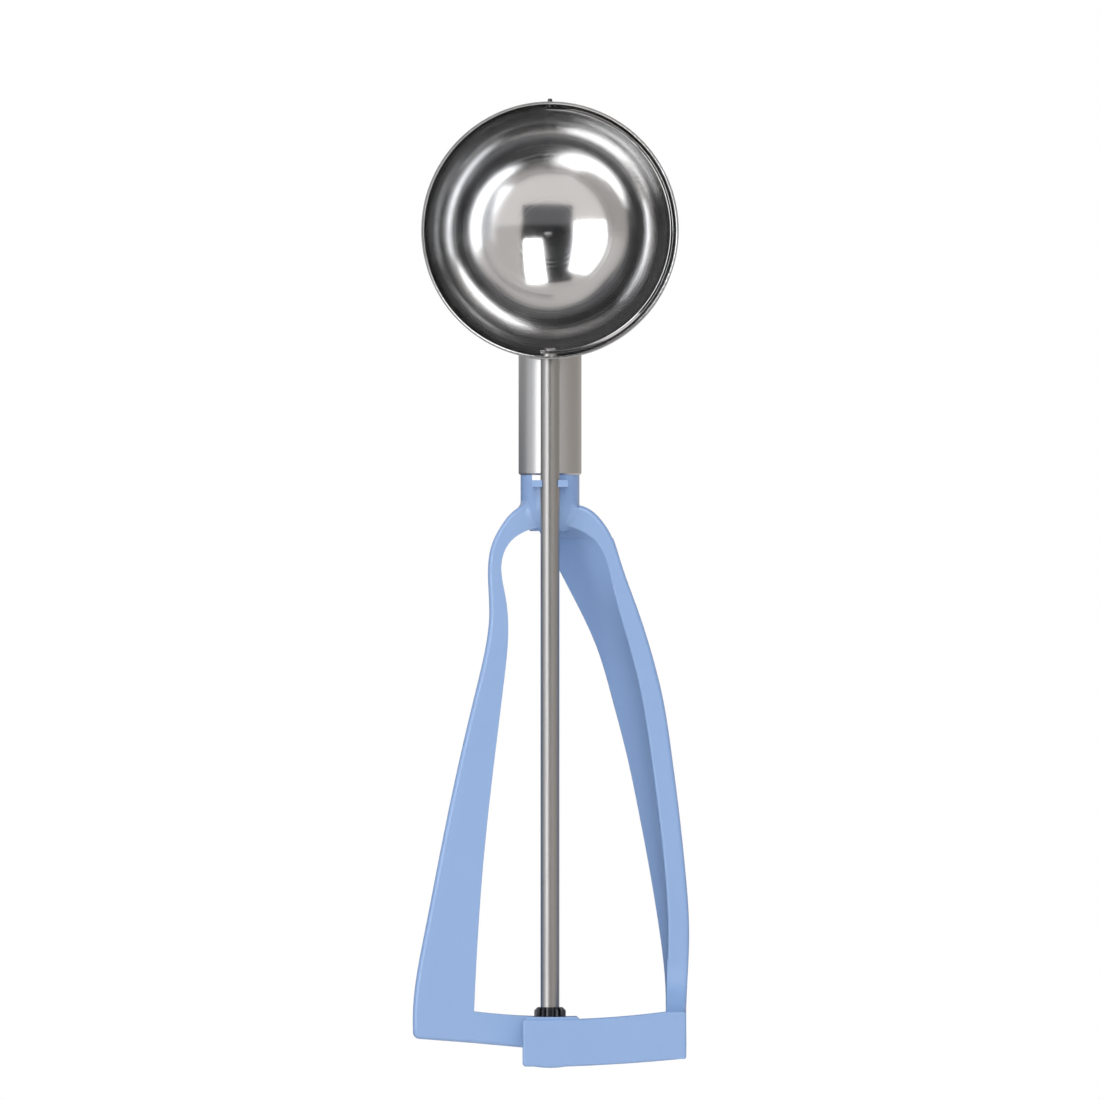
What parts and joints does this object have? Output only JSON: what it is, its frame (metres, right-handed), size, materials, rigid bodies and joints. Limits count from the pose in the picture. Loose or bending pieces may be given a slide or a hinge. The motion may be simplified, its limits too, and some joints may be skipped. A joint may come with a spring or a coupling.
{
  "type": "portion scoop",
  "caption": "Squeeze-handle portion scoop: a round steel bowl on a short stem, with a scraper blade that a rack and pinion sweeps round the bowl when the springy handle is closed.",
  "frame": {"origin": "on the rod's axis at the middle of the grip", "axes": "+Z along the rod to the bowl, -Y out of the bowl's mouth, +X towards the palm lever"},
  "size_m": [0.0615, 0.0352, 0.2153],
  "materials": {
    "polished_steel": "polished stainless steel",
    "dark_steel": "dark sintered steel",
    "blue_plastic": "satin moulded light-blue plastic"
  },
  "bodies": {
    "frame": {"bowl": "polished_steel", "stem_tube": "polished_steel", "handle_yoke": "blue_plastic", "finger_flexure": "blue_plastic", "palm_flexure": "blue_plastic"},
    "drive": {"rod": "polished_steel", "pinion": "dark_steel", "scraper_blade": "polished_steel"},
    "palm_lever": {"palm_lever": "blue_plastic"},
    "finger_lever": {"finger_lever": "blue_plastic"}
  },
  "joints": [
    {"name": "scraper_turn", "type": "hinge", "parent": "frame", "child": "drive", "pos_m": [0, 0, 0], "axis": [0, 0, 1], "range_deg": [0, 165]},
    {"name": "palm_squeeze", "type": "hinge", "parent": "frame", "child": "palm_lever", "pos_m": [0.0141, 0, 0.0505], "axis": [0, 1, 0], "range_deg": [0, 4.7], "stiffness_Nm_per_rad": 6, "deforming": ["palm_flexure"]},
    {"name": "finger_squeeze", "type": "hinge", "parent": "frame", "child": "finger_lever", "pos_m": [-0.0141, 0, 0.0505], "axis": [0, -1, 0], "range_deg": [0, 4.6], "stiffness_Nm_per_rad": 6, "deforming": ["finger_flexure"]}
  ],
  "couplings": [
    {"joint": "palm_squeeze", "follows": "scraper_turn", "ratio": 0.028182}
  ]
}
